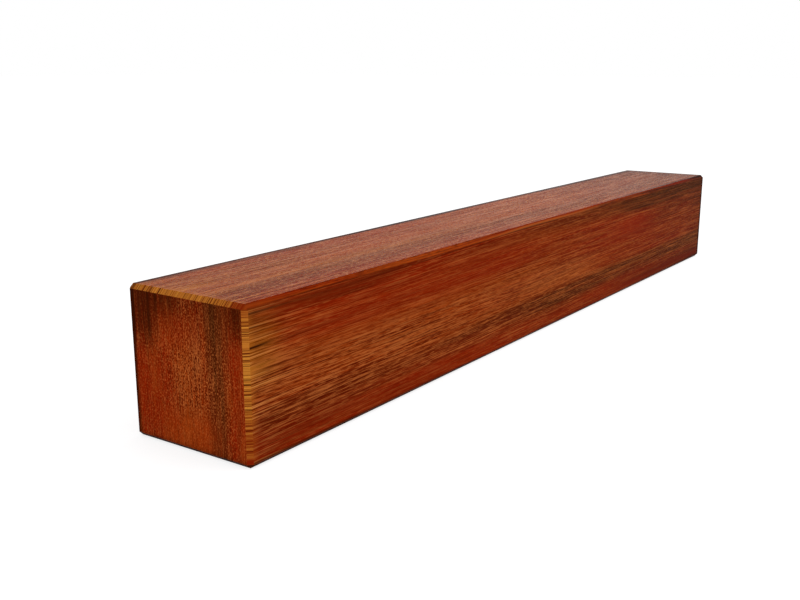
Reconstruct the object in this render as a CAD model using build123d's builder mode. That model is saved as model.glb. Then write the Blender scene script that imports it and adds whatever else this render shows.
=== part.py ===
"""Square timber batten.

One planed length of hardwood: a square section cut to length, with every arris,
long ones and those round the two sawn ends alike, eased by a small flat chamfer.

Millimetres. +X runs along the grain, +Z is up, and the origin is the middle of
the face that the batten lies on.
"""

import os

from build123d import *

# Driving dimensions
SIDE = 38.1  # finished side of a nominal two inch square section
LENGTH = 304.8  # cut length, twelve inches
ARRIS = 1.1  # leg of the chamfer that eases each edge

# The square section stands on the floor plane and is extruded along the grain,
# half the length each way, and the twelve arrises are then eased together, so that
# the chamfers meet in a small triangular facet at each corner.
with BuildPart() as batten:
    with BuildSketch(Plane.YZ) as section:
        Rectangle(SIDE, SIDE, align=(Align.CENTER, Align.MIN))
    extrude(amount=LENGTH / 2, both=True)
    chamfer(batten.edges(), length=ARRIS)

batten.part.label = "batten"

os.makedirs("parts", exist_ok=True)
export_step(batten.part, "parts/batten.step")
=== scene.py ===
"""Looks of the square timber batten: one planed length of red-brown hardwood on a white studio floor.

Metres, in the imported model's own frame: +X runs along the grain, +Z is up, and the
batten lies on the floor with its front face towards -Y. The figure of the wood is
laid out in millimetres on each face, along the grain and across it.
"""

import logging
import math
from collections.abc import Iterable
from dataclasses import dataclass
from enum import Enum

import bmesh
import bpy
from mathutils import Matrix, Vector, noise


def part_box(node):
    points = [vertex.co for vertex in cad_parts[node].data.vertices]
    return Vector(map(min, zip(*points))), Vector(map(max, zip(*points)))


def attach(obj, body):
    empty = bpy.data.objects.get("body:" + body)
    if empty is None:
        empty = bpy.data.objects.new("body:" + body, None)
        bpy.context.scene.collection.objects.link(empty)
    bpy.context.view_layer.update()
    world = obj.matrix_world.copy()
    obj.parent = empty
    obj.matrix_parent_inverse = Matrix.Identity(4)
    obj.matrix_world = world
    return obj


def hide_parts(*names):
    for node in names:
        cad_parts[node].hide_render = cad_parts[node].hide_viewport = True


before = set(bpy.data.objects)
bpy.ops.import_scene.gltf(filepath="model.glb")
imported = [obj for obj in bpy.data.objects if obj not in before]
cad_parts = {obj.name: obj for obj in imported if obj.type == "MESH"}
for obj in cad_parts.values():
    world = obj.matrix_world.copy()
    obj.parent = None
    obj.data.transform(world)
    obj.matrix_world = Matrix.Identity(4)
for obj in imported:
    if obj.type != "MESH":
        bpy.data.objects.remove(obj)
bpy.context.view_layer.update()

MM = 0.001
LOG = logging.getLogger("batten")

Socket = bpy.types.NodeSocket
Feed = Socket | float | tuple[float, ...]

# How far apart the figures of two faces lie in the noises
LEAF_STRIDE = 37.0


class Tone(Enum):
    """The colours of the wood, and a near black for painted shade, each as an sRGB hex number."""

    RED = 0x7C1B02
    ORANGE = 0x8E380C
    TAN = 0xA55C2A
    BROWN = 0x4E1D06
    OLIVE = 0x3A1E08
    UMBER = 0x320E02
    GARNET = 0x500E00
    RUSSET = 0x86441A
    GOLD = 0x965014
    OCHRE = 0x8A5C0C
    STRAW = 0xB86E26
    WHEAT = 0xCC8A32
    FAWN = 0xBC763C
    AMBER = 0xA65828
    EMBER = 0xB44A10
    ROSE = 0xB26A3C
    # Near black, used only as painted shade
    SOOT = 0x1A0702

    @property
    def linear(self) -> tuple[float, float, float, float]:
        """The colour in linear light, with full alpha."""
        parts = [(self.value >> shift & 0xFF) / 0xFF for shift in (16, 8, 0)]
        red, green, blue = (
            part / 12.92 if part <= 0.04045 else ((part + 0.055) / 1.055) ** 2.4 for part in parts
        )
        return (red, green, blue, 1.0)


class Face(Enum):
    """A face of the batten, as its outward direction."""

    TOP = (0, 0, 1)
    FRONT = (0, -1, 0)
    BOTTOM = (0, 0, -1)
    BACK = (0, 1, 0)
    NEAR_END = (-1, 0, 0)
    FAR_END = (1, 0, 0)

    @property
    def is_end(self) -> bool:
        """True for the two faces sawn across the grain."""
        return self.value[0] != 0

    @property
    def leaf(self) -> float:
        """A number of its own for each face, so that no two faces have the same figure."""
        return LEAF_STRIDE * list(Face).index(self)


class Arris(Enum):
    """A kind of eased edge, by where it lies and how it has worn; the shaded kind is painted dark as shade.
    """

    NEAR_TOP = "near_top"
    NEAR_SIDE = "near_side"
    TOP_FRONT = "top_front"
    # Painted shade: the arrises on the bottom, the top back and the far end, painted near black
    SOILED = "soiled"


@dataclass(frozen=True)
class Grain:
    """A noise drawn out along the grain, with its sizes in millimetres."""

    long: float
    wide: float
    seed: float
    detail: float = 1.0
    harsh: float = 0.5


@dataclass(frozen=True)
class Slope:
    """An eased step from a bottom level to a top level, while a value goes from low to high.

    Low may lie above high, for a step that is made as the value falls.
    """

    low: float
    high: float
    bottom: float = 0.0
    top: float = 1.0


@dataclass(frozen=True)
class Tint:
    """A colour laid on where a noise passes from one level to another."""

    tone: Tone
    start: float
    full: float
    share: float

    @property
    def slope(self) -> Slope:
        """How much of the colour is laid on as the noise passes."""
        return Slope(self.start, self.full, top=self.share)


@dataclass(frozen=True)
class Layer:
    """One layer of the figure: a noise, its tints and its height.

    A layer with a zone is strong in some parts of a face and weak in others. Its calm is
    the share of its strength that is left past the first half of the length.
    """

    grain: Grain
    tints: tuple[Tint, ...] = ()
    height: float = 0.0
    zone: Grain | None = None
    calm: float = 1.0


@dataclass(frozen=True, kw_only=True)
class Patch:
    """A part of a face where the lines of the figure are stronger or weaker, in millimetres.

    On a long face, along is from the near end and across is from the top or the back
    edge. On an end, along is down from the top and across is from the back edge. A patch
    with no start or no end of its own runs out past that side of the face.
    """

    across: float
    width: float
    strength: float
    start: float = -60.0
    end: float = 400.0
    fade: float = 22.0


@dataclass(frozen=True)
class Streak(Patch):
    """A patch of another colour in the wood, or a band of painted shade."""

    tone: Tone


class NodeSheet:
    """A node tree under construction, with a short method for each kind of node."""

    def __init__(self, tree: bpy.types.NodeTree) -> None:
        """Starts from an empty tree."""
        self.tree = tree
        self.tree.nodes.clear()

    def add(self, kind: str, **settings: object) -> bpy.types.Node:
        """Adds a node.

        Args:
            kind: The node's type name.
            settings: Properties to set on it.

        Returns:
            The new node.
        """
        node = self.tree.nodes.new(kind)
        for name, value in settings.items():
            setattr(node, name, value)
        return node

    def feed(self, socket: Socket, value: Feed) -> None:
        """Links another node's output to a socket, or sets the socket's own value.

        Args:
            socket: The input to feed.
            value: An output socket, a number or a vector.
        """
        if isinstance(value, Socket):
            self.tree.links.new(value, socket)
        else:
            socket.default_value = value

    def math(self, operation: str, first: Feed, second: Feed = 0.0, clamp: bool = False) -> Socket:
        """Adds a Math node.

        Args:
            operation: The node's operation.
            first: Its first value.
            second: Its second value.
            clamp: True to keep the result from 0 to 1.

        Returns:
            The result.
        """
        node = self.add("ShaderNodeMath", operation=operation, use_clamp=clamp)
        self.feed(node.inputs[0], first)
        self.feed(node.inputs[1], second)
        return node.outputs[0]

    def stretch(self, vector: Feed, scale: tuple[float, ...], shift: Feed) -> Socket:
        """Scales a vector and then moves it.

        Args:
            vector: The vector.
            scale: Factors along its three parts.
            shift: What is added afterwards.

        Returns:
            The new vector.
        """
        node = self.add("ShaderNodeVectorMath", operation="MULTIPLY_ADD")
        self.feed(node.inputs[0], vector)
        self.feed(node.inputs[1], scale)
        self.feed(node.inputs[2], shift)
        return node.outputs[0]

    def grain(self, figure: Feed, grain: Grain) -> Socket:
        """Adds noise drawn out along the grain.

        Args:
            figure: The figure coordinates, in millimetres.
            grain: The sizes of the noise.

        Returns:
            The noise, from 0 to 1 and mostly near a half.
        """
        scale = (1.0 / grain.long, 1.0 / grain.wide, 1.0)
        shift = (grain.seed, -grain.seed, grain.seed)
        node = self.add("ShaderNodeTexNoise", noise_dimensions="3D")
        self.feed(node.inputs["Vector"], self.stretch(figure, scale, shift))
        node.inputs["Scale"].default_value = 1.0
        node.inputs["Detail"].default_value = grain.detail
        node.inputs["Roughness"].default_value = grain.harsh
        return node.outputs["Fac"]

    def ease(self, value: Feed, slope: Slope) -> Socket:
        """Eases a value from one level to another.

        Args:
            value: The value.
            slope: The step that it makes.

        Returns:
            The eased value.
        """
        node = self.add("ShaderNodeMapRange", interpolation_type="SMOOTHSTEP")
        levels = (slope.low, slope.high, slope.bottom, slope.top)
        if slope.low > slope.high:
            levels = (slope.high, slope.low, slope.top, slope.bottom)
        for socket, number in zip(node.inputs[1:5], levels):
            socket.default_value = number
        self.feed(node.inputs[0], value)
        return node.outputs[0]

    def blend(self, share: Feed, first: Feed, second: Feed) -> Socket:
        """Mixes two colours.

        Args:
            share: Share of the second colour.
            first: The first colour.
            second: The second colour.

        Returns:
            The mixed colour.
        """
        node = self.add("ShaderNodeMix", data_type="RGBA")
        self.feed(node.inputs["Factor"], share)
        self.feed(node.inputs[6], first)
        self.feed(node.inputs[7], second)
        return node.outputs[2]

    def between(self, share: Feed, first: Feed, second: Feed) -> Socket:
        """Goes from one number to another.

        Args:
            share: How far to go, from 0 to 1.
            first: The number at 0.
            second: The number at 1.

        Returns:
            The number between them.
        """
        node = self.add("ShaderNodeMix", data_type="FLOAT")
        self.feed(node.inputs["Factor"], share)
        self.feed(node.inputs[2], first)
        self.feed(node.inputs[3], second)
        return node.outputs[0]

    def parts(self, vector: Feed) -> tuple[Socket, Socket]:
        """Takes a vector apart.

        Args:
            vector: The vector.

        Returns:
            Its first and second parts.
        """
        node = self.add("ShaderNodeSeparateXYZ")
        self.feed(node.inputs[0], vector)
        return node.outputs[0], node.outputs[1]

    def shade(self, colour: Feed, factor: Feed) -> Socket:
        """Multiplies a colour by a number.

        Args:
            colour: The colour.
            factor: The number.

        Returns:
            The lighter or darker colour.
        """
        node = self.add("ShaderNodeVectorMath", operation="SCALE")
        self.feed(node.inputs[0], colour)
        self.feed(node.inputs["Scale"], factor)
        return node.outputs[0]


# Noises that the finishes share
WANDER = Grain(long=120.0, wide=18.0, seed=3.7)
DRIFT = Grain(long=150.0, wide=7.0, seed=11.3, detail=2.0)
END_DRIFT = Grain(long=30.0, wide=6.0, seed=13.3, detail=2.0)
RIBBON = Grain(long=90.0, wide=1.5, seed=23.1, detail=4.0, harsh=0.6)
ZONE = Grain(long=90.0, wide=5.0, seed=91.0)
END_LINE = Grain(long=120.0, wide=0.64, seed=83.0, detail=2.0, harsh=0.75)
END_REACH = Grain(long=900.0, wide=1.8, seed=71.0)

# Levels at which those noises act, with lengths in millimetres
WANDER_LOW = 0.25
WANDER_HIGH = 0.75
RAGGED_EDGE = Slope(0.25, 0.7, 0.45, 1.35)
PATCHY_ZONE = Slope(0.38, 0.62, 0.35, 1.0)
GILT_REACH = Slope(0.32, 0.68, 2.5, 20.0)
GILT_LINE = Slope(0.52, 0.6, top=1.3)
DARK_LINE = Slope(0.46, 0.38)

# How many times as far as the golden fibres the dark ones run in
DARK_REACH = 3.0

# Where the golden wash at the near end is full and where it has faded, in millimetres
WASH_FULL = 0.4
WASH_END = 3.6

# Shares of a patch's width, from its middle, where its edge begins and where it has faded
EDGE_BEGINS = 0.2
EDGE_ENDS = 0.75

# Distance from the near end at which the lines have calmed down, in millimetres
CALM_REACH = 150.0

# Brightness of the painted light on raised fibres and of the painted shade in sunken ones, and the heights
# between which roughness changes
RAISED_LIGHT = 1.08
SUNKEN_LIGHT = 0.9
FIBRE_LOW = 0.3
FIBRE_HIGH = 0.7


@dataclass(frozen=True)
class HardwoodFinish:
    """Red-brown hardwood as one cut of the batten shows it.

    The finish reads two attributes of the mesh: the figure coordinates, in
    millimetres, and the depth of the relief there, from 0 to 1, from which it paints
    shade into the sunken fibres and light onto the raised ones.
    """

    name: str
    layers: tuple[Layer, ...]
    streaks: tuple[Streak, ...] = ()
    stains_and_shade: tuple[Streak, ...] = ()
    patches: tuple[Patch, ...] = ()
    deep: Tone = Tone.RED
    pale: Tone = Tone.ORANGE
    drift: Grain = DRIFT
    deep_below: float = 0.36
    pale_above: float = 0.62
    wander: float = 0.5
    gilding: float = 0.0
    # Painted light and shade: a factor on the colour that evens out how the lamp lights each face and arris
    painted_light: float = 1.0
    contrast: float = 1.0
    roughness: float = 0.31
    roughness_swing: float = 0.06
    specular: float = 0.005
    bump: float = 0.02 * MM

    def material(self) -> bpy.types.Material:
        """Makes the material.

        Returns:
            The new material.
        """
        material = bpy.data.materials.new(self.name)
        material.use_nodes = True
        sheet = NodeSheet(material.node_tree)
        straight = sheet.add("ShaderNodeAttribute", attribute_name="figure").outputs["Vector"]
        relief = sheet.add("ShaderNodeAttribute", attribute_name="relief").outputs["Fac"]
        figure = self._wandering(sheet, straight)
        share = sheet.ease(sheet.grain(figure, self.drift), Slope(self.deep_below, self.pale_above))
        colour = sheet.blend(share, self.deep.linear, self.pale.linear)
        colour = self._lay_streaks(sheet, colour, figure, self.streaks)
        colour, height = self._lay_layers(sheet, colour, figure)
        if self.gilding > 0.0:
            colour = self._gild(sheet, colour, figure)
        colour = self._lay_streaks(sheet, colour, figure, self.stains_and_shade)
        # Painted shade in the sunken fibres and painted light on the raised ones, times the finish's
        # painted light
        light = Slope(0.0, 1.0, RAISED_LIGHT * self.painted_light, SUNKEN_LIGHT * self.painted_light)
        colour = sheet.shade(colour, sheet.ease(relief, light))
        self._shader(sheet, colour, height)
        return material

    def _wandering(self, sheet: NodeSheet, straight: Feed) -> Socket:
        """Lets the grain wander from side to side.

        Args:
            sheet: The node tree.
            straight: Straight figure coordinates.

        Returns:
            The figure coordinates along the wandering grain.
        """
        slow = sheet.grain(straight, WANDER)
        offset = sheet.add("ShaderNodeCombineXYZ")
        sway = Slope(WANDER_LOW, WANDER_HIGH, -self.wander, self.wander)
        sheet.feed(offset.inputs["Y"], sheet.ease(slow, sway))
        return sheet.stretch(straight, (1.0, 1.0, 1.0), offset.outputs[0])

    @staticmethod
    def _lay_streaks(sheet: NodeSheet, colour: Feed, figure: Feed, streaks: tuple[Streak, ...]) -> Feed:
        """Lays streaks over a colour, with ragged edges.

        Args:
            sheet: The node tree.
            colour: The colour below.
            figure: The figure coordinates.
            streaks: The streaks, from the lowest to the topmost.

        Returns:
            The colour with its streaks.
        """
        if not streaks:
            return colour
        ragged = sheet.ease(sheet.grain(figure, RIBBON), RAGGED_EDGE)
        for streak in streaks:
            broken = sheet.math("MULTIPLY", HardwoodFinish._within(sheet, figure, streak), ragged)
            strength = sheet.math("MULTIPLY", broken, streak.strength, clamp=True)
            colour = sheet.blend(strength, colour, streak.tone.linear)
        return colour

    @staticmethod
    def _within(sheet: NodeSheet, figure: Feed, patch: Patch) -> Socket:
        """Measures how far inside a patch a point lies.

        Args:
            sheet: The node tree.
            figure: The figure coordinates.
            patch: The patch or streak.

        Returns:
            1 well inside it and 0 outside, with a soft edge between.
        """
        along, across = sheet.parts(figure)
        side = sheet.math("ABSOLUTE", sheet.math("SUBTRACT", across, patch.across))
        body = sheet.ease(side, Slope(EDGE_ENDS * patch.width, EDGE_BEGINS * patch.width))
        begun = sheet.ease(along, Slope(patch.start - patch.fade, patch.start + patch.fade))
        ended = sheet.ease(along, Slope(patch.end + patch.fade, patch.end - patch.fade))
        return sheet.math("MULTIPLY", sheet.math("MULTIPLY", body, begun), ended)

    def _liveliness(self, sheet: NodeSheet, figure: Feed) -> Feed:
        """Works out how strong the lines are at each place.

        Args:
            sheet: The node tree.
            figure: The figure coordinates.

        Returns:
            The strength, 1 where the lines are as the layers say.
        """
        strength: Feed = self.contrast
        for patch in self.patches:
            inside = self._within(sheet, figure, patch)
            strength = sheet.between(inside, strength, patch.strength * self.contrast)
        return strength

    def _lay_layers(self, sheet: NodeSheet, colour: Feed, figure: Feed) -> tuple[Feed, Feed]:
        """Lays the layers of the figure over a colour, the coarsest first.

        Args:
            sheet: The node tree.
            colour: The colour below.
            figure: The figure coordinates.

        Returns:
            The colour with its layers, and the height of the fibres.
        """
        height: Feed = 0.0
        lively = self._liveliness(sheet, figure)
        for layer in self.layers:
            value = sheet.grain(figure, layer.grain)
            zone = lively
            if layer.zone is not None:
                patchy = sheet.ease(sheet.grain(figure, layer.zone), PATCHY_ZONE)
                zone = sheet.math("MULTIPLY", zone, patchy)
            if layer.calm < 1.0:
                along, _ = sheet.parts(figure)
                calmer = sheet.ease(along, Slope(0.0, CALM_REACH, 1.0, layer.calm))
                zone = sheet.math("MULTIPLY", zone, calmer)
            for tint in layer.tints:
                strength = sheet.math("MULTIPLY", sheet.ease(value, tint.slope), zone)
                colour = sheet.blend(strength, colour, tint.tone.linear)
            if layer.height > 0.0:
                height = sheet.math("ADD", sheet.math("MULTIPLY", value, layer.height), height)
        return colour, height

    def _gild(self, sheet: NodeSheet, colour: Feed, figure: Feed) -> Socket:
        """Draws the golden and the dark fibres that run in from the near end.

        Args:
            sheet: The node tree.
            colour: The colour below.
            figure: The figure coordinates.

        Returns:
            The colour with those fibres.
        """
        along, _ = sheet.parts(figure)
        line = sheet.grain(figure, END_LINE)
        reach = sheet.ease(sheet.grain(figure, END_REACH), GILT_REACH)
        inward = sheet.math("DIVIDE", along, reach)
        fresh = sheet.ease(inward, Slope(1.0, 0.0, top=self.gilding))
        lasting = sheet.ease(inward, Slope(DARK_REACH, 0.0))
        wash = sheet.ease(along, Slope(WASH_END, WASH_FULL, top=self.gilding))
        gold = sheet.math("MULTIPLY", fresh, sheet.ease(line, GILT_LINE))
        dark = sheet.math("MULTIPLY", lasting, sheet.ease(line, DARK_LINE))
        colour = sheet.blend(wash, colour, Tone.GOLD.linear)
        colour = sheet.blend(gold, colour, Tone.FAWN.linear)
        return sheet.blend(dark, colour, Tone.GARNET.linear)

    def _shader(self, sheet: NodeSheet, colour: Feed, height: Feed) -> None:
        """Joins colour, roughness and bump in the surface shader.

        Args:
            sheet: The node tree.
            colour: The wood's colour.
            height: Height of the fibres, from 0 to 1.
        """
        bump = sheet.add("ShaderNodeBump")
        bump.inputs["Strength"].default_value = 1.0
        bump.inputs["Distance"].default_value = self.bump
        sheet.feed(bump.inputs["Height"], height)
        wood = sheet.add("ShaderNodeBsdfPrincipled")
        sheet.feed(wood.inputs["Base Color"], colour)
        rough = self.roughness + self.roughness_swing
        smooth = self.roughness - self.roughness_swing
        polish = Slope(FIBRE_LOW, FIBRE_HIGH, rough, smooth)
        sheet.feed(wood.inputs["Roughness"], sheet.ease(height, polish))
        sheet.feed(wood.inputs["Normal"], bump.outputs["Normal"])
        wood.inputs["Specular IOR Level"].default_value = self.specular
        output = sheet.add("ShaderNodeOutputMaterial")
        sheet.feed(output.inputs["Surface"], wood.outputs["BSDF"])


# Layers of the figure on each kind of cut, the coarsest first
RIBBON_LAYER = Layer(
    RIBBON,
    tints=(Tint(Tone.BROWN, 0.46, 0.3, 0.3), Tint(Tone.TAN, 0.56, 0.74, 0.2)),
    calm=0.7,
)
PLANED_LAYERS = (
    RIBBON_LAYER,
    Layer(
        Grain(long=60.0, wide=0.36, seed=47.7, detail=2.0),
        tints=(Tint(Tone.GARNET, 0.46, 0.34, 0.7), Tint(Tone.AMBER, 0.54, 0.66, 0.85)),
        height=0.5,
        zone=ZONE,
        calm=0.7,
    ),
    Layer(
        Grain(long=16.0, wide=0.28, seed=31.9),
        tints=(Tint(Tone.GARNET, 0.47, 0.33, 0.55), Tint(Tone.AMBER, 0.53, 0.66, 0.6)),
        height=0.3,
        calm=0.7,
    ),
    Layer(
        Grain(long=3.0, wide=0.23, seed=59.3),
        tints=(Tint(Tone.GARNET, 0.47, 0.3, 0.45), Tint(Tone.AMBER, 0.53, 0.7, 0.45)),
        height=0.2,
        calm=0.7,
    ),
)
TOP_LAYERS = (
    RIBBON_LAYER,
    Layer(
        Grain(long=50.0, wide=0.45, seed=47.7, detail=2.0),
        tints=(Tint(Tone.BROWN, 0.47, 0.34, 0.55), Tint(Tone.ROSE, 0.53, 0.66, 0.65)),
        height=0.4,
        zone=ZONE,
    ),
    Layer(
        Grain(long=12.0, wide=0.42, seed=31.9),
        tints=(Tint(Tone.BROWN, 0.48, 0.34, 0.4), Tint(Tone.ROSE, 0.52, 0.66, 0.45)),
        height=0.3,
    ),
    Layer(
        Grain(long=1.2, wide=0.45, seed=59.3, detail=2.0, harsh=0.6),
        tints=(Tint(Tone.RED, 0.48, 0.34, 0.7), Tint(Tone.ROSE, 0.52, 0.66, 0.7)),
        height=0.3,
    ),
)
SAWN_LAYERS = (
    Layer(
        Grain(long=22.0, wide=0.9, seed=29.1, detail=3.0, harsh=0.6),
        tints=(Tint(Tone.BROWN, 0.47, 0.32, 0.55), Tint(Tone.ORANGE, 0.55, 0.7, 0.45)),
    ),
    Layer(
        Grain(long=8.0, wide=0.32, seed=43.0),
        tints=(Tint(Tone.GARNET, 0.47, 0.33, 0.7), Tint(Tone.AMBER, 0.54, 0.68, 0.5)),
        height=0.2,
    ),
    Layer(
        Grain(long=0.5, wide=0.26, seed=37.9),
        tints=(Tint(Tone.GARNET, 0.48, 0.3, 0.85), Tint(Tone.AMBER, 0.52, 0.68, 0.85)),
        height=0.5,
    ),
    Layer(
        Grain(long=1.0, wide=0.22, seed=53.9, detail=0.0),
        tints=(Tint(Tone.GARNET, 0.4, 0.28, 0.7),),
        height=0.3,
    ),
)
NEAR_ARRIS_LAYERS = (
    Layer(
        END_LINE,
        tints=(
            Tint(Tone.STRAW, 0.5, 0.54, 1.0),
            Tint(Tone.WHEAT, 0.55, 0.62, 0.8),
            Tint(Tone.RED, 0.5, 0.46, 0.7),
            Tint(Tone.UMBER, 0.47, 0.4, 0.9),
        ),
        height=0.6,
    ),
    Layer(
        Grain(long=30.0, wide=0.24, seed=31.9),
        tints=(Tint(Tone.STRAW, 0.52, 0.62, 0.7), Tint(Tone.UMBER, 0.47, 0.36, 0.7)),
        height=0.4,
    ),
)
LONG_ARRIS_LAYERS = (
    Layer(
        Grain(long=40.0, wide=0.4, seed=31.9, detail=2.0),
        tints=(Tint(Tone.UMBER, 0.48, 0.34, 0.6), Tint(Tone.EMBER, 0.52, 0.66, 0.6)),
        height=0.7,
    ),
    Layer(
        Grain(long=3.0, wide=0.3, seed=59.3),
        tints=(Tint(Tone.UMBER, 0.46, 0.3, 0.45), Tint(Tone.EMBER, 0.54, 0.7, 0.35)),
        height=0.3,
    ),
)

# Streaks lie under the lines of the figure, and stains and painted shade over them, the lowest first
# Painted shade: dark rims at the far end of the long faces and along the bottom of the ends
FAR_RIM_SHADE = Streak(Tone.UMBER, across=19.0, width=90.0, strength=0.8, start=302.6, fade=1.0)
LOW_RIM_SHADE = Streak(Tone.UMBER, across=19.0, width=90.0, strength=0.6, start=36.6, fade=1.0)
FRONT_STREAKS = (
    Streak(Tone.RED, across=8.5, width=9.5, strength=0.85, start=10.0, end=150.0),
    Streak(Tone.RED, across=35.0, width=6.0, strength=0.85),
    Streak(Tone.ORANGE, across=19.0, width=12.0, strength=0.85, end=105.0),
    Streak(Tone.BROWN, across=19.0, width=60.0, strength=0.22, start=110.0, fade=50.0),
    Streak(Tone.OLIVE, across=19.0, width=60.0, strength=0.3, start=260.0, fade=50.0),
    Streak(Tone.OLIVE, across=8.0, width=14.0, strength=0.4, start=240.0, fade=25.0),
    Streak(Tone.TAN, across=20.0, width=7.0, strength=0.35, start=112.0, end=182.0),
    Streak(Tone.TAN, across=21.5, width=4.0, strength=0.35, start=50.0, end=82.0, fade=10.0),
    Streak(Tone.BROWN, across=28.5, width=7.0, strength=0.5, end=70.0),
    Streak(Tone.BROWN, across=28.7, width=6.5, strength=0.9, start=75.0),
    Streak(Tone.OLIVE, across=27.6, width=5.5, strength=0.5, start=120.0),
    Streak(Tone.UMBER, across=29.3, width=4.0, strength=0.35, start=65.0, end=150.0),
    Streak(Tone.BROWN, across=2.2, width=4.0, strength=0.6, start=145.0),
    Streak(Tone.OLIVE, across=3.4, width=7.5, strength=0.85, start=200.0, fade=30.0),
    Streak(Tone.UMBER, across=3.0, width=6.0, strength=0.35, start=215.0),
    Streak(Tone.RED, across=12.5, width=8.0, strength=0.4, start=200.0, end=235.0),
    Streak(Tone.UMBER, across=37.0, width=5.0, strength=0.85, start=200.0, fade=40.0),
    Streak(Tone.BROWN, across=4.2, width=4.0, strength=0.45, start=90.0, end=205.0, fade=18.0),
    Streak(Tone.BROWN, across=27.5, width=5.0, strength=0.4, end=50.0),
    Streak(Tone.TAN, across=17.0, width=9.0, strength=0.35, end=16.0, fade=8.0),
    Streak(Tone.OLIVE, across=19.0, width=60.0, strength=0.35, start=290.0, fade=14.0),
    Streak(Tone.RED, across=33.0, width=10.0, strength=0.6, end=130.0),
    Streak(Tone.OCHRE, across=11.0, width=16.0, strength=0.3, end=9.0, fade=5.0),
)
FRONT_STAINS_AND_SHADE = (
    Streak(Tone.RED, across=8.0, width=9.0, strength=0.35, start=20.0, end=130.0),
    Streak(Tone.RED, across=33.0, width=12.0, strength=0.5, end=4.0, fade=4.0),
    Streak(Tone.RED, across=34.0, width=8.0, strength=0.3, start=180.0, end=240.0, fade=20.0),
    Streak(Tone.UMBER, across=35.8, width=6.0, strength=0.6, start=215.0, fade=25.0),
    Streak(Tone.RED, across=36.0, width=4.0, strength=0.35, start=200.0, fade=25.0),
    Streak(Tone.STRAW, across=15.5, width=3.0, strength=0.35, end=4.0, fade=4.0),
    Streak(Tone.BROWN, across=2.6, width=4.0, strength=0.3, end=5.0, fade=4.0),
    Streak(Tone.RED, across=2.2, width=3.0, strength=0.5, start=6.0, end=60.0, fade=8.0),
    Streak(Tone.OLIVE, across=3.5, width=6.0, strength=0.14, end=12.0, fade=6.0),
    Streak(Tone.OCHRE, across=11.0, width=16.0, strength=0.1, end=9.0, fade=5.0),
    Streak(Tone.UMBER, across=31.0, width=9.0, strength=0.12, end=60.0),
    Streak(Tone.RED, across=13.0, width=6.0, strength=0.25, start=30.0, end=110.0),
    Streak(Tone.UMBER, across=2.0, width=2.4, strength=0.4, start=12.0, end=60.0, fade=10.0),
    Streak(Tone.UMBER, across=1.8, width=0.5, strength=0.6, end=14.0, fade=8.0),
    Streak(Tone.UMBER, across=5.0, width=0.4, strength=0.6, end=6.0, fade=4.0),
    Streak(Tone.UMBER, across=3.7, width=1.3, strength=0.35, start=26.0, end=54.0, fade=12.0),
    Streak(Tone.UMBER, across=1.4, width=0.9, strength=0.45, start=45.0, end=110.0, fade=15.0),
    Streak(Tone.UMBER, across=9.6, width=0.6, strength=0.8, end=7.0, fade=4.0),
    Streak(Tone.UMBER, across=6.2, width=0.7, strength=0.6, start=212.0, end=240.0, fade=8.0),
    # Painted shade along the bottom edge
    Streak(Tone.UMBER, across=37.2, width=1.0, strength=0.7),
    Streak(Tone.UMBER, across=7.0, width=14.0, strength=0.4, start=292.0, fade=12.0),
    # Painted shade at the far end
    Streak(Tone.UMBER, across=19.0, width=90.0, strength=1.0, start=302.0, fade=1.0),
)
FRONT_PATCHES = (
    Patch(across=23.0, width=16.0, strength=1.6, end=185.0),
    Patch(across=10.0, width=5.0, strength=1.3, end=20.0, fade=10.0),
    Patch(across=6.5, width=10.0, strength=0.9, start=25.0, end=130.0),
    Patch(across=35.0, width=6.0, strength=0.6, start=6.0, end=110.0, fade=8.0),
    Patch(across=3.5, width=8.0, strength=0.5, start=195.0),
    Patch(across=13.0, width=8.0, strength=0.5, start=195.0, end=245.0),
)
TOP_STREAKS = (
    Streak(Tone.RED, across=7.0, width=9.0, strength=0.35, start=5.0, end=110.0),
    Streak(Tone.TAN, across=20.0, width=10.0, strength=0.2, end=200.0),
    Streak(Tone.BROWN, across=19.0, width=60.0, strength=0.7, start=220.0, fade=60.0),
    Streak(Tone.ORANGE, across=18.5, width=6.0, strength=0.45, start=150.0, end=280.0, fade=30.0),
    Streak(Tone.BROWN, across=19.0, width=90.0, strength=0.75, start=290.0, fade=12.0),
    Streak(Tone.UMBER, across=19.0, width=90.0, strength=0.55, start=293.0, fade=10.0),
    Streak(Tone.BROWN, across=28.5, width=8.0, strength=0.5, start=0.0),
    Streak(Tone.BROWN, across=34.0, width=7.0, strength=0.35),
    Streak(Tone.ORANGE, across=35.0, width=5.0, strength=0.6),
    Streak(Tone.RED, across=36.6, width=1.6, strength=0.5),
    Streak(Tone.RED, across=34.5, width=7.0, strength=0.4, end=130.0),
    Streak(Tone.BROWN, across=31.5, width=12.0, strength=0.35, start=225.0, fade=40.0),
    Streak(Tone.BROWN, across=30.0, width=7.0, strength=0.35, end=22.0, fade=14.0),
)
TOP_STAINS_AND_SHADE = (
    Streak(Tone.STRAW, across=15.5, width=3.0, strength=0.35, end=10.0, fade=6.0),
    Streak(Tone.TAN, across=23.3, width=2.2, strength=0.3, end=90.0, fade=20.0),
    # Darker along the back edge
    Streak(Tone.UMBER, across=1.3, width=3.0, strength=1.0),
    Streak(Tone.UMBER, across=1.5, width=4.0, strength=1.0, start=175.0, fade=40.0),
    Streak(Tone.UMBER, across=2.2, width=5.0, strength=0.45, start=4.0, end=62.0, fade=8.0),
    Streak(Tone.BROWN, across=19.0, width=90.0, strength=0.14, start=215.0, fade=40.0),
    Streak(Tone.BROWN, across=19.0, width=90.0, strength=0.12, start=275.0, fade=20.0),
    Streak(Tone.UMBER, across=36.8, width=1.6, strength=0.6, start=205.0, fade=20.0),
    Streak(Tone.UMBER, across=19.0, width=90.0, strength=0.4, start=297.0, fade=10.0),
    FAR_RIM_SHADE,
)
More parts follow.
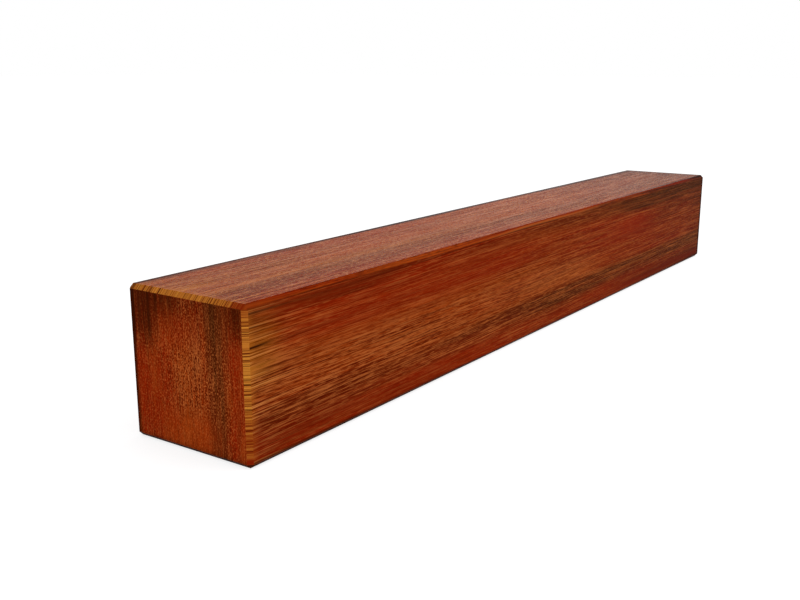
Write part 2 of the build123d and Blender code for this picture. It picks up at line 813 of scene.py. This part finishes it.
TOP_PATCHES = (Patch(across=19.0, width=60.0, strength=1.5, start=165.0, fade=45.0),)
BACK_STREAKS = (
    Streak(Tone.BROWN, across=9.0, width=5.0, strength=0.8, end=210.0),
    Streak(Tone.OLIVE, across=31.0, width=6.0, strength=0.7, start=130.0),
    Streak(Tone.TAN, across=20.0, width=8.0, strength=0.5, start=60.0, end=170.0),
)
BACK_STAINS_AND_SHADE = (
    # Darker along the top edge
    Streak(Tone.UMBER, across=1.4, width=1.2, strength=0.7),
    # Painted shade along the bottom edge
    Streak(Tone.UMBER, across=37.2, width=1.2, strength=0.8),
    FAR_RIM_SHADE,
)
BOTTOM_STREAKS = (
    Streak(Tone.BROWN, across=14.0, width=7.0, strength=0.7, end=180.0),
    Streak(Tone.OLIVE, across=30.0, width=4.0, strength=0.8, start=90.0),
)
NEAR_END_STREAKS = (
    Streak(Tone.ORANGE, across=20.5, width=10.0, strength=0.7, start=14.0, fade=8.0),
    Streak(Tone.TAN, across=22.2, width=3.5, strength=0.6, start=8.0, end=19.0, fade=4.0),
    Streak(Tone.BROWN, across=28.7, width=6.2, strength=0.9, fade=8.0),
)
NEAR_END_STAINS_AND_SHADE = (
    Streak(Tone.OLIVE, across=27.8, width=4.5, strength=0.45, end=14.0, fade=8.0),
    Streak(Tone.OLIVE, across=28.6, width=4.5, strength=0.2, start=12.0, fade=8.0),
    Streak(Tone.UMBER, across=4.5, width=9.0, strength=0.8, end=13.5, fade=5.0),
    Streak(Tone.UMBER, across=11.5, width=8.0, strength=0.65, end=7.0, fade=5.0),
    Streak(Tone.UMBER, across=35.2, width=4.6, strength=0.7, end=8.0, fade=5.0),
    Streak(Tone.BROWN, across=31.5, width=4.0, strength=0.35, end=13.0, fade=5.0),
    # Darker towards the top of the end
    Streak(Tone.UMBER, across=19.0, width=60.0, strength=0.58, end=5.0, fade=8.0),
    # Redder and lighter towards the bottom of the end
    Streak(Tone.RED, across=19.0, width=26.0, strength=0.2, start=29.0, fade=4.0),
    Streak(Tone.EMBER, across=19.0, width=18.0, strength=0.15, start=29.0, fade=4.0),
    Streak(Tone.RED, across=17.0, width=14.0, strength=0.3, start=5.0, end=13.0, fade=3.0),
    # Painted shade: a dark line down the back edge of the end
    Streak(Tone.SOOT, across=1.2, width=2.6, strength=0.9, end=14.0, fade=8.0),
    Streak(Tone.UMBER, across=1.2, width=2.5, strength=0.9, fade=8.0),
    LOW_RIM_SHADE,
)
NEAR_END_PATCHES = (
    Patch(across=22.0, width=14.0, strength=1.6, end=27.0, fade=5.0),
    Patch(across=6.0, width=10.0, strength=0.5, start=16.0, fade=5.0),
    Patch(across=35.3, width=4.5, strength=0.6, start=9.0, fade=4.0),
    Patch(across=19.0, width=26.0, strength=0.75, start=29.0, fade=4.0),
)
FAR_END_STREAKS = (
    Streak(Tone.BROWN, across=11.0, width=6.0, strength=0.9, fade=8.0),
    Streak(Tone.ORANGE, across=25.0, width=12.0, strength=0.7, end=25.0, fade=8.0),
)
FAR_END_STAINS_AND_SHADE = (
    Streak(Tone.UMBER, across=33.0, width=5.0, strength=0.6, start=12.0, fade=8.0),
    Streak(Tone.UMBER, across=12.0, width=30.0, strength=0.5, end=4.0, fade=8.0),
    LOW_RIM_SHADE,
)
NEAR_TOP_STAINS = (
    Streak(Tone.UMBER, across=1.0, width=3.0, strength=0.6),
    Streak(Tone.STRAW, across=18.0, width=8.0, strength=0.35),
    Streak(Tone.RED, across=36.5, width=7.0, strength=0.7),
)
NEAR_SIDE_STAINS = (
    Streak(Tone.RED, across=0.8, width=2.8, strength=0.45),
    Streak(Tone.WHEAT, across=15.5, width=4.0, strength=0.3),
    Streak(Tone.RED, across=32.0, width=13.0, strength=0.45),
    Streak(Tone.RED, across=37.8, width=5.0, strength=0.95),
)
FRONT_ARRIS_STREAKS = (
    Streak(Tone.BROWN, across=37.5, width=9.0, strength=0.5, start=190.0, fade=30.0),
    Streak(Tone.OLIVE, across=37.5, width=9.0, strength=0.7, start=250.0, fade=40.0),
    Streak(Tone.UMBER, across=37.5, width=9.0, strength=0.6, start=278.0, fade=16.0),
)
FRONT_ARRIS_STAINS = (
    Streak(Tone.ORANGE, across=37.9, width=1.0, strength=0.6, end=10.0, fade=6.0),
    Streak(Tone.UMBER, across=38.0, width=0.7, strength=0.6, start=14.0, fade=8.0),
    Streak(Tone.EMBER, across=37.5, width=0.6, strength=0.4, start=50.0, end=175.0),
    Streak(Tone.TAN, across=37.65, width=0.6, strength=0.35, start=110.0, end=190.0),
    Streak(Tone.RED, across=37.1, width=0.5, strength=0.6, start=95.0),
    Streak(Tone.RED, across=37.4, width=0.7, strength=0.6, start=200.0, end=285.0, fade=15.0),
    Streak(Tone.UMBER, across=37.5, width=9.0, strength=0.8, start=288.0, fade=12.0),
)


# Least cosines for an edge that runs along an axis, and for a facet that belongs to a face
PARALLEL = 0.999
FACING = 0.5


@dataclass
class Batten:
    """The batten itself: a square section cut to length, with its twelve arrises eased.

    Sizes are in metres, but those of the fibres and the pores are in millimetres, as the
    figure is. The block is divided into narrow cells along the grain, so that the fibres
    stand in real relief, sunk a little below the planed surface.
    """

    length: float
    side: float
    base: Vector
    arris: float = 1.1 * MM
    cells_along: int = 160
    cells_across: int = 100
    fibre_depth: float = 0.03 * MM
    end_depth: float = 0.05 * MM
    fibre_long: float = 40.0
    fibre_wide: float = 0.9
    pore_long: float = 1.4
    pore_wide: float = 0.8
    map_rim: float = 0.01
    map_girth: float = 0.77
    map_end: float = 0.4

    @classmethod
    def from_frame(cls) -> "Batten":
        """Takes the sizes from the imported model's one node.

        Returns:
            The batten, not yet built.
        """
        low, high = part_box("batten")
        size = high - low
        middle = (low + high) / 2.0
        return cls(length=size.x, side=size.z, base=Vector((middle.x, middle.y, low.z)))

    def build(self) -> bpy.types.Object:
        """Models the batten, gives it its finishes and puts it on its body.

        Returns:
            The finished piece.
        """
        block = bmesh.new()
        self._saw(block)
        self._divide(block)
        slots = self._lay_figure(block)
        self._lay_map(block)
        self._raise_grain(block)
        data = bpy.data.meshes.new("batten_timber")
        block.to_mesh(data)
        block.free()
        for finish in slots:
            data.materials.append(finish.material())
        piece = bpy.data.objects.new("batten_timber", data)
        bpy.context.scene.collection.objects.link(piece)
        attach(piece, "root")
        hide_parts("batten")
        return piece

    def _saw(self, block: bmesh.types.BMesh) -> None:
        """Cuts the block to size and eases its arrises.

        Args:
            block: An empty mesh.
        """
        bmesh.ops.create_cube(block, size=1.0)
        bmesh.ops.scale(block, vec=(self.length, self.side, self.side), verts=block.verts)
        bmesh.ops.translate(block, vec=self.base + Vector((0.0, 0.0, self.side / 2.0)), verts=block.verts)
        bmesh.ops.bevel(
            block,
            geom=block.edges[:],
            offset=self.arris,
            offset_type="OFFSET",
            affect="EDGES",
            segments=1,
            profile=0.5,
            material=-1,
        )

    def _divide(self, block: bmesh.types.BMesh) -> None:
        """Divides the faces into cells, one direction after the other.

        Args:
            block: The eased block.
        """
        for axis, cells in enumerate((self.cells_along, self.cells_across, self.cells_across)):
            edges = [edge for edge in block.edges if self._runs_along(edge, axis)]
            bmesh.ops.subdivide_edges(block, edges=edges, cuts=cells - 1)

    @staticmethod
    def _runs_along(edge: bmesh.types.BMEdge, axis: int) -> bool:
        """True if an edge is parallel to an axis."""
        run = edge.verts[1].co - edge.verts[0].co
        return abs(run[axis]) > PARALLEL * run.length

    @staticmethod
    def _sides_of(facet: bmesh.types.BMFace) -> list[Face]:
        """Finds the batten's faces that a facet belongs to or lies between.

        Args:
            facet: A facet of the block.

        Returns:
            One face for a flat facet, two on an arris and three at a corner.
        """
        return [side for side in Face if facet.normal.dot(Vector(side.value)) > FACING]

    def _lay_figure(self, block: bmesh.types.BMesh) -> list[HardwoodFinish]:
        """Writes the figure coordinates on every corner, and sorts the facets by finish.

        Args:
            block: The divided block.

        Returns:
            The finishes, in the order of the material numbers.
        """
        finishes = self._finishes()
        order = list(finishes)
        layer = block.loops.layers.float_vector.new("figure")
        for facet in block.faces:
            sides = self._sides_of(facet)
            host = next((side for side in sides if not side.is_end), sides[0])
            key = host if len(sides) == 1 else self._arris_of(sides)
            facet.material_index = order.index(key)
            facet.smooth = True
            for loop in facet.loops:
                loop[layer] = self._figure_at(loop.vert.co, host)
        for edge in block.edges:
            edge.smooth = len({facet.material_index for facet in edge.link_faces}) == 1
        return list(finishes.values())

    @staticmethod
    def _arris_of(sides: list[Face]) -> Arris:
        """Sorts an eased edge or a corner by the faces that it lies between.

        Args:
            sides: Those faces.

        Returns:
            Its kind.
        """
        # The arrises along the bottom and round the far end, and the top back arris below, get painted
        # shade
        if Face.BOTTOM in sides or Face.FAR_END in sides:
            return Arris.SOILED
        if Face.NEAR_END in sides and len(sides) == 2:
            return Arris.NEAR_TOP if Face.TOP in sides else Arris.NEAR_SIDE
        return Arris.TOP_FRONT if Face.FRONT in sides else Arris.SOILED

    def _lay_map(self, block: bmesh.types.BMesh) -> None:
        """Unrolls the block on a map: its girth as one strip, and the ends beside it.

        Args:
            block: The divided block.
        """
        layer = block.loops.layers.uv.new("OFBake")
        for facet in block.faces:
            sides = self._sides_of(facet)
            for loop in facet.loops:
                if len(sides) == 1 and sides[0].is_end:
                    loop[layer].uv = self._end_spot(loop.vert.co, sides[0])
                else:
                    loop[layer].uv = self._strip_spot(loop.vert.co, facet.normal)

    def _end_spot(self, place: Vector, end: Face) -> Vector:
        """Places a point of an end on the map.

        Args:
            place: The point.
            end: The end that it lies on.

        Returns:
            Its place on the map.
        """
        across = 0.5 + (place.y - self.base.y) / self.side
        up = (place.z - self.base.z) / self.side
        left = self.map_rim if end is Face.NEAR_END else 2.0 * self.map_rim + self.map_end
        low = self.map_girth + 3.0 * self.map_rim
        return Vector((left + across * self.map_end, low + up * (1.0 - self.map_rim - low)))

    def _strip_spot(self, place: Vector, normal: Vector) -> Vector:
        """Places a point of the long faces, or of an eased edge, on the map.

        Args:
            place: The point.
            normal: The direction of its facet.

        Returns:
            Its place on the map.
        """
        flat = self.side - 2.0 * self.arris
        slope = math.sqrt(2.0) * self.arris
        girth = 4.0 * (flat + slope)
        eighth = math.pi / 4.0
        turn = round(math.atan2(-normal.y, normal.z) / eighth) % 8
        angle = turn * eighth
        middle = (turn // 2) * (flat + slope) + (flat / 2.0 if turn % 2 == 0 else flat + slope / 2.0)
        centre = self.base + Vector((0.0, 0.0, self.side / 2.0))
        round_about = middle + (place - centre).dot(Vector((0.0, -math.cos(angle), -math.sin(angle))))
        half = self.length / 2.0
        lengthwise = place.x - self.base.x
        past = max(abs(lengthwise) - (half - self.arris), 0.0)
        reach = math.copysign(abs(lengthwise) - past + past * math.sqrt(2.0), lengthwise)
        span = 2.0 * (half - self.arris + slope)
        wide = 1.0 - 2.0 * self.map_rim
        return Vector((0.5 + wide * reach / span, self.map_rim + self.map_girth * round_about / girth))

    def _figure_at(self, place: Vector, host: Face) -> Vector:
        """Works out the figure coordinates of a point.

        Args:
            place: The point.
            host: The face whose figure it continues.

        Returns:
            Millimetres along the grain, millimetres across it, and the face's own number.
        """
        from_near = place.x - self.base.x + self.length / 2.0
        from_back = self.base.y + self.side / 2.0 - place.y
        from_top = self.base.z + self.side - place.z
        if host.is_end:
            along, across = from_top, from_back
        elif host in (Face.FRONT, Face.BACK):
            along, across = from_near, from_top
        else:
            along, across = from_near, from_back
        return Vector((along / MM, across / MM, host.leaf))

    @staticmethod
    def _finishes() -> dict[Face | Arris, HardwoodFinish]:
        """Makes the finish of each face and arris.

        Returns:
            The finishes by face or arris.
        """
        return {
            Face.TOP: HardwoodFinish(
                "planed_top",
                TOP_LAYERS,
                TOP_STREAKS,
                TOP_STAINS_AND_SHADE,
                TOP_PATCHES,
                deep=Tone.ORANGE,
                pale=Tone.RUSSET,
                gilding=0.5,
                painted_light=0.97,
                roughness_swing=0.12,
                specular=0.0067,
                bump=0.1 * MM,
            ),
            Face.FRONT: HardwoodFinish(
                "planed_front",
                PLANED_LAYERS,
                FRONT_STREAKS,
                FRONT_STAINS_AND_SHADE,
                FRONT_PATCHES,
                gilding=0.72,
                specular=0.0018,
            ),
            Face.BOTTOM: HardwoodFinish("planed_bottom", PLANED_LAYERS, BOTTOM_STREAKS),
            Face.BACK: HardwoodFinish("planed_back", PLANED_LAYERS, BACK_STREAKS, BACK_STAINS_AND_SHADE, gilding=0.6),
            Face.NEAR_END: HardwoodFinish(
                "sawn_near_end",
                SAWN_LAYERS,
                NEAR_END_STREAKS,
                NEAR_END_STAINS_AND_SHADE,
                NEAR_END_PATCHES,
                drift=END_DRIFT,
                deep_below=0.48,
                pale_above=0.75,
                # Painted light: the sawn end is made lighter than the lamp lights it
                painted_light=1.2,
                specular=0.001,
            ),
            Face.FAR_END: HardwoodFinish(
                "sawn_far_end",
                SAWN_LAYERS,
                FAR_END_STREAKS,
                FAR_END_STAINS_AND_SHADE,
                drift=END_DRIFT,
                deep_below=0.48,
                pale_above=0.75,
                # Painted light: the sawn end is made lighter than the lamp lights it
                painted_light=1.2,
                specular=0.001,
            ),
            Arris.NEAR_TOP: HardwoodFinish(
                "eased_near_top",
                NEAR_ARRIS_LAYERS,
                stains_and_shade=NEAR_TOP_STAINS,
                deep=Tone.GOLD,
                pale=Tone.STRAW,
                # Painted shade: this arris is darkened against the lamp's light from above
                painted_light=0.82,
            ),
            Arris.NEAR_SIDE: HardwoodFinish(
                "eased_near_side",
                NEAR_ARRIS_LAYERS,
                stains_and_shade=NEAR_SIDE_STAINS,
                deep=Tone.GOLD,
                pale=Tone.STRAW,
            ),
            Arris.TOP_FRONT: HardwoodFinish(
                "eased_front_arris",
                LONG_ARRIS_LAYERS,
                FRONT_ARRIS_STREAKS,
                FRONT_ARRIS_STAINS,
                deep_below=0.3,
                pale_above=0.5,
                # Painted shade: this arris is darkened against the lamp's light on it
                painted_light=0.73,
                specular=0.003,
            ),
            # Painted shade: near-black arrises where the batten lies in shade
            Arris.SOILED: HardwoodFinish(
                "shaded_arris",
                LONG_ARRIS_LAYERS,
                deep=Tone.SOOT,
                pale=Tone.UMBER,
                contrast=0.4,
                specular=0.001,
            ),
        }

    def _raise_grain(self, block: bmesh.types.BMesh) -> None:
        """Sinks the softer fibres below the surface, and notes how deep.

        Args:
            block: The divided block, with its figure laid.
        """
        block.normal_update()
        figure = block.loops.layers.float_vector["figure"]
        relief = block.verts.layers.float.new("relief")
        moves = []
        for vert in block.verts:
            finishes = {facet.material_index for facet in vert.link_faces}
            if len(finishes) > 1:
                continue
            facet = vert.link_faces[0]
            spot = next(loop[figure] for loop in facet.loops if loop.vert is vert)
            is_end = abs(facet.normal.x) > FACING
            depth = self._sunk(spot, is_end)
            vert[relief] = depth
            deepest = self.end_depth if is_end else self.fibre_depth
            moves.append((vert, vert.normal * depth * deepest))
        for vert, move in moves:
            vert.co -= move

    def _sunk(self, spot: Vector, is_end: bool) -> float:
        """Works out how far the surface is sunk at a spot.

        Args:
            spot: The figure coordinates there.
            is_end: True on a sawn end.

        Returns:
            The depth, from 0 at the surface to 1 at the deepest.
        """
        along, across, leaf = spot
        long = self.pore_long if is_end else self.fibre_long
        wide = self.pore_wide if is_end else self.fibre_wide
        value = noise.noise(Vector((along / long, across / wide, leaf)))
        return min(max(0.5 - value, 0.0), 1.0)


@dataclass
class Studio:
    """A white floor, an even white sky and one broad soft lamp. Sizes are in metres."""

    floor_size: float = 12.0
    floor_gap: float = 0.05 * MM
    sky_light: float = 0.9
    floor_tone: float = 0.8
    shown_diffuse: float = 0.3
    shown_glow: float = 0.78
    lamp_watts: float = 5.0
    lamp_size: float = 0.8
    lamp_place: tuple[float, float, float] = (0.24, -0.54, 1.04)

    def build(self) -> None:
        """Makes the floor, the sky and the lamp."""
        self._floor()
        self._sky()
        self._lamp()

    @staticmethod
    def _seen(sheet: NodeSheet) -> Socket:
        """Tells rays that show a surface from rays that carry light.

        Args:
            sheet: The node tree.

        Returns:
            1 for camera, glossy and transmission rays, and 0 for the rest.
        """
        path = sheet.add("ShaderNodeLightPath").outputs
        shown = sheet.math("MAXIMUM", path["Is Camera Ray"], path["Is Glossy Ray"])
        return sheet.math("MAXIMUM", shown, path["Is Transmission Ray"])

    def _floor(self) -> None:
        """Lays the floor just below the batten."""
        plane = bmesh.new()
        bmesh.ops.create_grid(plane, x_segments=1, y_segments=1, size=self.floor_size / 2.0)
        bmesh.ops.translate(plane, vec=(0.0, 0.0, -self.floor_gap), verts=plane.verts)
        data = bpy.data.meshes.new("studio_floor")
        plane.to_mesh(data)
        plane.free()
        data.materials.append(self._floor_paint())
        floor = bpy.data.objects.new("studio_floor", data)
        bpy.context.scene.collection.objects.link(floor)

    def _floor_paint(self) -> bpy.types.Material:
        """Makes the floor's white, which keeps the batten's shadow.

        Returns:
            The new material.
        """
        material = bpy.data.materials.new("white_floor")
        material.use_nodes = True
        sheet = NodeSheet(material.node_tree)
        plain = sheet.add("ShaderNodeBsdfDiffuse")
        plain.inputs["Color"].default_value = (self.floor_tone,) * 3 + (1.0,)
        shown = sheet.add("ShaderNodeBsdfDiffuse")
        shown.inputs["Color"].default_value = (self.shown_diffuse,) * 3 + (1.0,)
        glow = sheet.add("ShaderNodeEmission")
        glow.inputs["Strength"].default_value = self.shown_glow
        both = sheet.add("ShaderNodeAddShader")
        sheet.feed(both.inputs[0], shown.outputs[0])
        sheet.feed(both.inputs[1], glow.outputs[0])
        choice = sheet.add("ShaderNodeMixShader")
        sheet.feed(choice.inputs[0], self._seen(sheet))
        sheet.feed(choice.inputs[1], plain.outputs[0])
        sheet.feed(choice.inputs[2], both.outputs[0])
        output = sheet.add("ShaderNodeOutputMaterial")
        sheet.feed(output.inputs["Surface"], choice.outputs[0])
        return material

    def _sky(self) -> None:
        """Makes the even light from all round, seen as white."""
        world = bpy.data.worlds.new("studio_sky")
        world.use_nodes = True
        sheet = NodeSheet(world.node_tree)
        light = sheet.add("ShaderNodeBackground")
        light.inputs["Color"].default_value = (1.0, 1.0, 1.0, 1.0)
        strength = sheet.ease(self._seen(sheet), Slope(0.0, 1.0, self.sky_light, 1.0))
        sheet.feed(light.inputs["Strength"], strength)
        output = sheet.add("ShaderNodeOutputWorld")
        sheet.feed(output.inputs["Surface"], light.outputs[0])
        bpy.context.scene.world = world

    def _lamp(self) -> None:
        """Hangs the soft lamp above the batten, a little in front of it."""
        data = bpy.data.lights.new("soft_lamp", "AREA")
        data.energy = self.lamp_watts
        data.size = self.lamp_size
        lamp = bpy.data.objects.new("soft_lamp", data)
        lamp.location = self.lamp_place
        lamp.rotation_euler = (-Vector(self.lamp_place)).to_track_quat("-Z", "Y").to_euler()
        bpy.context.scene.collection.objects.link(lamp)


@dataclass
class PhotoCamera:
    """The camera where the photograph was taken from.

    Its place is counted in sides of the batten, from the middle of the batten's base,
    and its heading is from +Y towards +X. The clip start is in metres.
    """

    place: tuple[float, float, float] = (-7.8072, -4.2284, 2.3185)
    heading: float = math.radians(55.044)
    tilt: float = math.radians(-13.750)
    field_of_view: float = math.radians(45.0)
    clip_start: float = 0.01

    def build(self, batten: Batten) -> None:
        """Makes the camera and looks through it.

        Args:
            batten: The batten that it looks at.
        """
        data = bpy.data.cameras.new("photo_camera")
        data.sensor_fit = "HORIZONTAL"
        data.angle = self.field_of_view
        data.clip_start = self.clip_start
        camera = bpy.data.objects.new("photo_camera", data)
        camera.location = batten.base + Vector(self.place) * batten.side
        camera.rotation_euler = (math.pi / 2.0 + self.tilt, 0.0, -self.heading)
        bpy.context.scene.collection.objects.link(camera)
        bpy.context.scene.camera = camera


def main() -> None:
    """Builds the batten, the studio and the camera."""
    logging.basicConfig(level=logging.INFO, format="%(name)s: %(message)s")
    bpy.context.scene.view_settings.view_transform = "Standard"
    batten = Batten.from_frame()
    piece = batten.build()
    LOG.info("%s has %d faces", piece.name, len(piece.data.polygons))
    Studio().build()
    PhotoCamera().build(batten)


if __name__ == "__main__":
    main()
